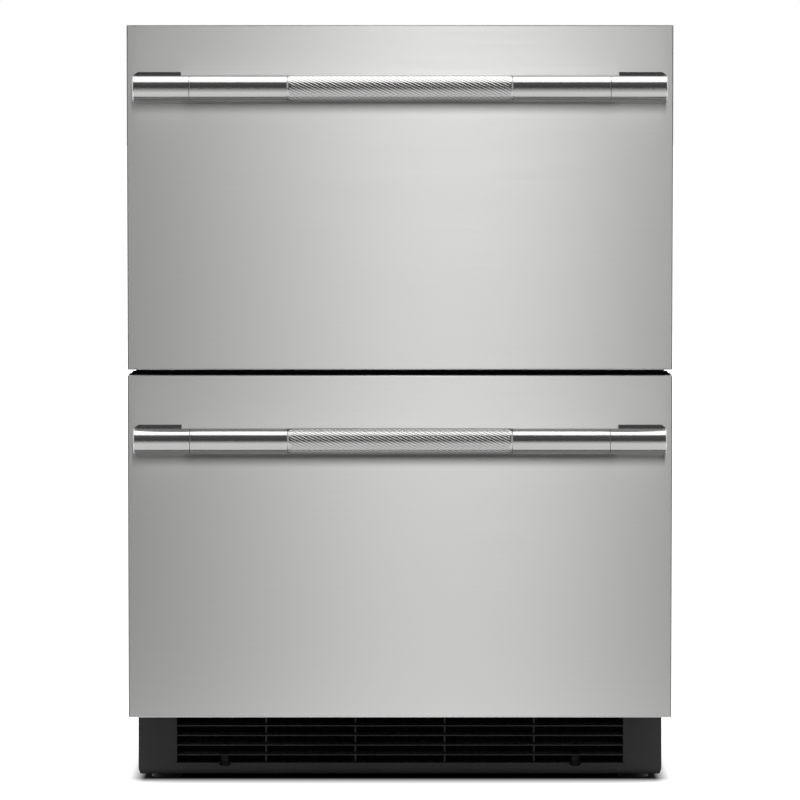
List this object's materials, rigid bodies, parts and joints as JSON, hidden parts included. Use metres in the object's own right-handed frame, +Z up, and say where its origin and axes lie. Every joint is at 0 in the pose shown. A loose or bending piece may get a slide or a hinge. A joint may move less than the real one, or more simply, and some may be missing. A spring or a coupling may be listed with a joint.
{
  "type": "undercounter drawer refrigerator",
  "caption": "Undercounter refrigerator with stacked stainless drawer fronts, knurled tube handles and a recessed black toe grille; its bins run on telescoping ball slides.",
  "frame": {"origin": "middle of the bounding box's footprint, on the floor under the legs", "axes": "+Z up, -Y towards the user (the drawer fronts' side), +X to the right seen from the front"},
  "size_m": [0.606, 0.6794, 0.854],
  "materials": {
    "front_steel": "satin",
    "handle_steel": "satin",
    "cabinet_paint": "satin",
    "zinc_steel": "satin",
    "cage_steel": "satin",
    "black_paint": "satin",
    "fin_metal": "satin",
    "black_fins": "matte",
    "copper_tube": "satin",
    "liner_plastic": "satin",
    "bin_plastic": "satin",
    "black_plastic": "matte",
    "white_plastic": "matte",
    "lamp_lens": "gloss",
    "seal_rubber": "matte",
    "foam": "matte"
  },
  "bodies": {
    "cabinet": {"outer_shell": "cabinet_paint", "rear_panel": "zinc_steel", "cabinet_insulation": "foam", "inner_liner": "liner_plastic", "divider_rail": "black_plastic", "belly_panel": "zinc_steel", "base_pan": "black_paint", "toe_grille": "black_paint", "toe_grille_screws": "black_paint", "compressor": "black_paint", "compressor_grommets": "seal_rubber", "condenser": "black_fins", "condenser_fan_frame": "black_plastic", "drain_pan": "black_plastic", "refrigerant_tubes": "copper_tube", "cord_gland": "black_plastic", "evaporator": "fin_metal", "evaporator_cover": "liner_plastic", "evaporator_fan_motor": "black_plastic", "control_panel": "black_plastic", "led_lamp": "lamp_lens", "counter_brackets": "zinc_steel", "upper_slide_outer": "zinc_steel", "lower_slide_outer": "zinc_steel"},
    "upper_drawer": {"upper_slide_inner": "zinc_steel", "upper_side_carriers": "zinc_steel", "upper_bin": "bin_plastic", "upper_front_skin": "front_steel", "upper_end_caps": "black_plastic", "upper_front_insulation": "foam", "upper_inner_panel": "liner_plastic", "upper_gasket": "seal_rubber", "upper_handle_bar": "handle_steel", "upper_handle_grip": "handle_steel", "upper_handle_posts": "handle_steel", "upper_handle_bolts": "zinc_steel"},
    "upper_slide_mid": {"upper_slide_middle": "zinc_steel"},
    "upper_cage_out": {"upper_ball_cage_outer": "cage_steel"},
    "upper_cage_in": {"upper_ball_cage_inner": "cage_steel"},
    "lower_drawer": {"lower_slide_inner": "zinc_steel", "lower_side_carriers": "zinc_steel", "lower_bin": "bin_plastic", "lower_front_skin": "front_steel", "lower_end_caps": "black_plastic", "lower_front_insulation": "foam", "lower_inner_panel": "liner_plastic", "lower_gasket": "seal_rubber", "lower_handle_bar": "handle_steel", "lower_handle_grip": "handle_steel", "lower_handle_posts": "handle_steel", "lower_handle_bolts": "zinc_steel"},
    "lower_slide_mid": {"lower_slide_middle": "zinc_steel"},
    "lower_cage_out": {"lower_ball_cage_outer": "cage_steel"},
    "lower_cage_in": {"lower_ball_cage_inner": "cage_steel"},
    "condenser_fan": {"condenser_fan_blade": "black_plastic"},
    "evaporator_fan": {"evaporator_fan_blade": "white_plastic"},
    "front_left_leg": {"front_left_leg": "seal_rubber"},
    "front_right_leg": {"front_right_leg": "seal_rubber"},
    "rear_left_leg": {"rear_left_leg": "seal_rubber"},
    "rear_right_leg": {"rear_right_leg": "seal_rubber"}
  },
  "joints": [
    {"name": "upper_drawer_slide", "type": "slide", "parent": "cabinet", "child": "upper_drawer", "axis": [0, -1, 0], "range_m": [0, 0.42]},
    {"name": "upper_slide_mid_slide", "type": "slide", "parent": "cabinet", "child": "upper_slide_mid", "axis": [0, -1, 0], "range_m": [0, 0.21]},
    {"name": "upper_cage_out_slide", "type": "slide", "parent": "cabinet", "child": "upper_cage_out", "axis": [0, -1, 0], "range_m": [0, 0.105]},
    {"name": "upper_cage_in_slide", "type": "slide", "parent": "cabinet", "child": "upper_cage_in", "axis": [0, -1, 0], "range_m": [0, 0.315]},
    {"name": "lower_drawer_slide", "type": "slide", "parent": "cabinet", "child": "lower_drawer", "axis": [0, -1, 0], "range_m": [0, 0.42]},
    {"name": "lower_slide_mid_slide", "type": "slide", "parent": "cabinet", "child": "lower_slide_mid", "axis": [0, -1, 0], "range_m": [0, 0.21]},
    {"name": "lower_cage_out_slide", "type": "slide", "parent": "cabinet", "child": "lower_cage_out", "axis": [0, -1, 0], "range_m": [0, 0.105]},
    {"name": "lower_cage_in_slide", "type": "slide", "parent": "cabinet", "child": "lower_cage_in", "axis": [0, -1, 0], "range_m": [0, 0.315]},
    {"name": "condenser_fan_spin", "type": "hinge", "parent": "cabinet", "child": "condenser_fan", "pos_m": [-0.172, 0.24375, 0.1], "axis": [1, 0, 0], "continuous": true},
    {"name": "evaporator_fan_spin", "type": "hinge", "parent": "cabinet", "child": "evaporator_fan", "pos_m": [0, 0.25875, 0.671], "axis": [0, 1, 0], "continuous": true},
    {"name": "front_left_leg_screw", "type": "slide", "parent": "cabinet", "child": "front_left_leg", "axis": [0, 0, -1], "range_m": [0, 0.025]},
    {"name": "front_right_leg_screw", "type": "slide", "parent": "cabinet", "child": "front_right_leg", "axis": [0, 0, -1], "range_m": [0, 0.025]},
    {"name": "rear_left_leg_screw", "type": "slide", "parent": "cabinet", "child": "rear_left_leg", "axis": [0, 0, -1], "range_m": [0, 0.025]},
    {"name": "rear_right_leg_screw", "type": "slide", "parent": "cabinet", "child": "rear_right_leg", "axis": [0, 0, -1], "range_m": [0, 0.025]}
  ],
  "couplings": [
    {"joint": "upper_slide_mid_slide", "follows": "upper_drawer_slide", "ratio": 0.5},
    {"joint": "upper_cage_out_slide", "follows": "upper_drawer_slide", "ratio": 0.25},
    {"joint": "upper_cage_in_slide", "follows": "upper_drawer_slide", "ratio": 0.75},
    {"joint": "lower_slide_mid_slide", "follows": "lower_drawer_slide", "ratio": 0.5},
    {"joint": "lower_cage_out_slide", "follows": "lower_drawer_slide", "ratio": 0.25},
    {"joint": "lower_cage_in_slide", "follows": "lower_drawer_slide", "ratio": 0.75}
  ]
}
